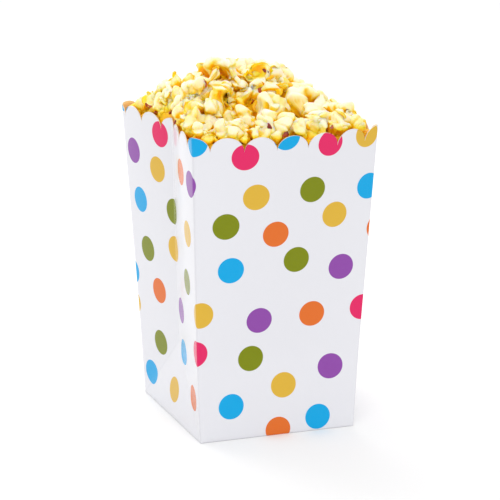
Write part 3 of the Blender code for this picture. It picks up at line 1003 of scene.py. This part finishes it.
butter, butter_shade_in, butter_shade_out = group_with(
    "buttered_starch",
    [("Height on puff", "NodeSocketFloat", 1.0), ("Shut in", "NodeSocketFloat", 0.0),
     ("Butter", "NodeSocketFloat", 0.5)],
    [("Colour", "NodeSocketColor"), ("Shine", "NodeSocketFloat"), ("Normal", "NodeSocketVector")],
)
patch = span(butter, noise(butter, 130.0, 3.0), 0.42, 0.7, 0.0, 0.3)
grain = noise(butter, 1500.0, 4.0)
# Seams are painted yellower than the knobs: partly butter, partly painted shade in the hollows.
seam = span(butter, butter_shade_in.outputs["Height on puff"], 0.05, 0.65, 0.3, 0.04)
soaked_and_shaded = combine(butter, "ADD", seam, butter_shade_in.outputs["Shut in"])
dipped = combine(butter, "MULTIPLY", patch, butter_shade_in.outputs["Butter"])
yellow = combine(butter, "ADD", soaked_and_shaded, dipped, use_clamp=True)
colour = add_ramp(butter, yellow, BUTTER_AND_SHADE_STEPS)
shine = span(butter, yellow, 0.0, 1.0, DRY_ROUGHNESS, BUTTERED_ROUGHNESS)
crumb = add_node(butter, "Bump", [("Strength", 0.3), ("Distance", CRUMB_DEPTH), ("Height", grain)])
feed(butter, butter_shade_out, Colour=colour, Shine=shine, Normal=crumb.outputs[0])
print("buttered starch:", len(butter.nodes), "nodes")


# %% Material: popcorn
flake_paint, tree, shader = new_material(
    "buttered_popcorn", 0.6, Subsurface_Weight=0.75, Subsurface_Radius=(1.0, 0.66, 0.15),
    Subsurface_Scale=3.0 * MM, Specular_IOR_Level=0.25,
)
flake = add_node(tree, "Attribute", attribute_name="flake").outputs["Vector"]
values = add_node(tree, "SeparateXYZ", [(0, flake)]).outputs
starch = add_node(tree, "Group", [
    ("Height on puff", values[0]), ("Shut in", values[1]), ("Butter", values[2]),
], node_tree=butter)
looks = starch.outputs
feed(tree, shader, Base_Color=looks["Colour"], Roughness=looks["Shine"], Normal=looks["Normal"])
print("popcorn paint:", len(tree.nodes), "nodes")

# %% [markdown]
# ## Setting the flakes on the heap
#
# All flakes of a kind are one joined mesh: the template's points times each flake's turn, plus its heart.
# A flake against a wall is squeezed flat on it, as the board is stiff enough to hold it: its points that
# would come too near the board are moved in by what they are short of.

# %% Joined flakes
SKIN_GAP = 0.7 * MM
CLEAR_OF_WALLS, CLEAR_OF_RIM = 33.0 * MM, 2 * MM
TOP_GAP = 0.05 * MM
# Small flakes are never less than this shut in, so they are painted a little yellower: partly butter, partly
# painted shade, as they lie low under the large ones.
LARGE_LEAST_SHUT_IN, SMALL_LEAST_SHUT_IN = 0.0, 0.12


def press_inside(points):
    """Moves points that are below the rim and too near the board towards the axis, by what is missing."""
    near = np.abs(points[:, :2]).max(1) > CLEAR_OF_WALLS
    low = np.flatnonzero(near & (points[:, 2] < RIM_HEIGHT + CLEAR_OF_RIM))
    short = np.maximum(SKIN_GAP - room_to_wall(points[low]), 0)
    away = np.linalg.norm(points[low, :2], axis=1)
    points[low, :2] *= (1 - short / away)[:, None]
    return points


def join_flakes(name, template, own, seed, least_shut_in):
    """One mesh of all flakes of a kind, with their values. The last argument is the least that a point is
    shut in, which paints it partly as butter and partly as shade.
    """
    random = np.random.default_rng(seed)
    points, quads, normals, heights = template
    placed = press_inside(np.concatenate([heart + points @ turn.T for heart, turn, _ in own]))
    placed[:, 2] = np.minimum(placed[:, 2], cad_box[1][2] - TOP_GAP)
    turned = np.concatenate([normals @ turn.T / np.linalg.norm(turn[0]) for _, turn, _ in own])
    faces = np.concatenate([quads + n * len(points) for n in range(len(own))])
    butter = np.repeat(random.uniform(0.0, 1.0, len(own)), len(points))
    shut = np.maximum(shut_in_butter_and_shade(placed, turned), least_shut_in)
    piece = make_piece(name, placed, faces.tolist(), [flake_paint], "popcorn")
    values = np.stack([np.tile(heights, len(own)), shut, butter], 1)
    add_values(piece, "flake", "FLOAT_VECTOR", "POINT", values)
    return placed, turned, shut


surface = []
for name, templates, places, least_shut_in in (
    ("popcorn_kind", large_templates, large_places, LARGE_LEAST_SHUT_IN),
    ("small_popcorn", small_templates, small_places, SMALL_LEAST_SHUT_IN),
):
    for number, template in enumerate(templates):
        own = [place for place in places if place[2] == number]
        if own:
            surface.append(join_flakes(f"{name}_{number + 1:02d}", template, own, number, least_shut_in))
            print(name, number + 1, "has", len(own), "flakes")

# %% [markdown]
# ## Scraps of hull
#
# The kernel's skin doesn't puff up. It tears into thin red-brown scraps, curved like the kernel, that stay
# stuck between the petals. A scrap is a coarse ball grid pressed flat, torn to three points, and bent over.
# Most are set on points that a seeded draw picks where the surface is half shut in. A few are set where the
# photograph shows one: the point is the foremost one on the camera's line through that place of the picture.

# %% Places of the scraps
HULL_SIZE = np.array([2.3, 1.5, 0.14]) * MM
HULL_BEND, HULL_LIFT, HULL_TEAR = 0.8 * MM, 0.4 * MM, 0.25
HULL_STEPS, HULL_POINTS = 3, 3
HULL_COUNT = 34
HULL_SHUT = (0.35, 0.75)
HULLS_SEEN = (
    (0.042, 0.246), (0.072, 0.232), (-0.204, 0.290), (-0.190, 0.274), (0.004, 0.296), (0.162, 0.246),
)
SIGHT = 0.003


def seen_at(across, up):
    """The foremost surface point at a place in the picture, in shares of its width from its middle."""
    back = np.array(towards_camera)
    side = np.cross([0, 0, 1], back)
    side /= np.linalg.norm(side)
    away = points - np.array(camera.location)
    depth = -away @ back
    seen = np.stack([away @ side, away @ np.cross(back, side)], 1) / depth[:, None] * LENS_MM / SENSOR_MM
    off = np.linalg.norm(seen - [across, up], axis=1)
    return np.where(off < SIGHT, depth, depth.max() + off).argmin()


random = np.random.default_rng(FLAKE_SEED + 2)
points, normals, shut = (np.concatenate(part) for part in zip(*surface))
likely = np.flatnonzero((shut > HULL_SHUT[0]) & (shut < HULL_SHUT[1]) & (normals[:, 2] > 0))
drawn = random.choice(likely, HULL_COUNT, replace=False)
spots = np.concatenate([drawn, [seen_at(*place) for place in HULLS_SEEN]])
print(len(likely), "points are half shut in")

# %% Hull scraps
leaf, leaf_quads = ball_grid(HULL_STEPS)
leaf[:, :2] *= 1 + HULL_TEAR * np.sin(HULL_POINTS * np.arctan2(leaf[:, 1], leaf[:, 0]))[:, None]
bend = HULL_LIFT - HULL_BEND * (leaf[:, 0] ** 2 + leaf[:, 1] ** 2)
leaf = leaf * HULL_SIZE
leaf[:, 2] += bend
scraps = []
for spot in spots:
    normal = normals[spot]
    along = np.cross(normal, random.normal(size=3))
    along /= np.linalg.norm(along)
    axes = np.stack([along, np.cross(normal, along), normal])
    scraps.append(points[spot] + leaf * random.uniform(0.6, 1.1) @ axes)
hull_paint, tree, shader = new_material("kernel_hull", 0.3, Specular_IOR_Level=0.5)
hull_colour = add_ramp(tree, noise(tree, 160.0, 2.0), [(0.35, paint(112, 10, 0)), (0.65, paint(196, 74, 4))])
feed(tree, shader, Base_Color=hull_colour)
hull_quads = np.concatenate([leaf_quads + n * len(leaf) for n in range(len(scraps))])
make_piece("hull_scraps", np.concatenate(scraps), hull_quads.tolist(), [hull_paint], "popcorn")
print(len(scraps), "scraps of hull")

# %% [markdown]
# ## The popcorn underneath
#
# Between the flakes one sees only more popcorn, dim and amber. One closed mesh is enough there: the
# carton's own section, drawn in a little, under a mound with the same puffs as the flakes have.

# %% Sizes of the core
CORE_SCALE, MOUND_SINK = 0.975, 7.5 * MM
FLOOR_GAP, SHOULDER_GAP = 0.5 * MM, 4 * MM
CORE_COLUMNS, CORE_ROWS, MOUND_ROWS = 128, 12, 34
CORE_HEIGHTS = np.linspace(BOARD + FLOOR_GAP, shoulder - SHOULDER_GAP, CORE_ROWS)
MOUND_SHARES = np.linspace(1.0, 0.02, MOUND_ROWS)[:, None]
CORE_KNOBS, CORE_KNOB_HEIGHT, CORE_SEED = 420, 2.0 * MM, 5
STEADY_EDGE = 1 / 8
# The core is coloured as nine tenths shut in: its amber is partly butter and partly painted shade, the shade
# deep between the flakes.
CORE_SHUT, CORE_BUTTER = 0.9, 0.8
print("core from", round(CORE_HEIGHTS[0] / MM, 2), "mm up")

# %% Core
around = np.arange(CORE_COLUMNS) * 4 / CORE_COLUMNS
shrink = np.array([CORE_SCALE, CORE_SCALE, 1.0])
core_walls = board_point(around[None, :], CORE_HEIGHTS[:, None]) * shrink
mound = board_point(around, shoulder) * shrink * [1, 1, 0] * MOUND_SHARES[..., None]
mound[..., 2] = heap_height(mound[..., 0], mound[..., 1]) - MOUND_SINK
core_rings = np.concatenate([core_walls, mound])
ring_count = len(core_rings)
core_grid = np.arange(ring_count * CORE_COLUMNS).reshape(ring_count, CORE_COLUMNS)
core_next = np.roll(core_grid, -1, axis=1)
core_quads = np.stack([core_grid[:-1], core_next[:-1], core_next[1:], core_grid[1:]], -1).reshape(-1, 4)
knobs = puffs(mound.reshape(-1, 3), CORE_KNOBS, np.random.default_rng(CORE_SEED)).reshape(mound.shape[:2])
from_edge = np.minimum(1, (1 - MOUND_SHARES) / STEADY_EDGE)
core_rings[CORE_ROWS:, :, 2] += CORE_KNOB_HEIGHT * (knobs - 1) * from_edge
poles = [core_rings[0].mean(0), core_rings[-1].mean(0)]
core_points = np.concatenate([core_rings.reshape(-1, 3), poles])
under = np.stack([core_next[0], core_grid[0], np.full(CORE_COLUMNS, len(core_points) - 2)], -1)
over = np.stack([core_grid[-1], core_next[-1], np.full(CORE_COLUMNS, len(core_points) - 1)], -1)
core = make_piece(
    "popcorn_underneath", core_points, core_quads.tolist() + under.tolist() + over.tolist(),
    [flake_paint], "popcorn",
)
core_knobs = np.concatenate([np.ones(core_walls[..., 0].size), knobs.ravel(), [1.0, 1.0]])
plain = np.ones_like(core_knobs)
core_values = np.stack([core_knobs, CORE_SHUT * plain, CORE_BUTTER * plain], 1)
add_values(core, "flake", "FLOAT_VECTOR", "POINT", core_values)
print("core of", len(core.data.polygons), "faces")
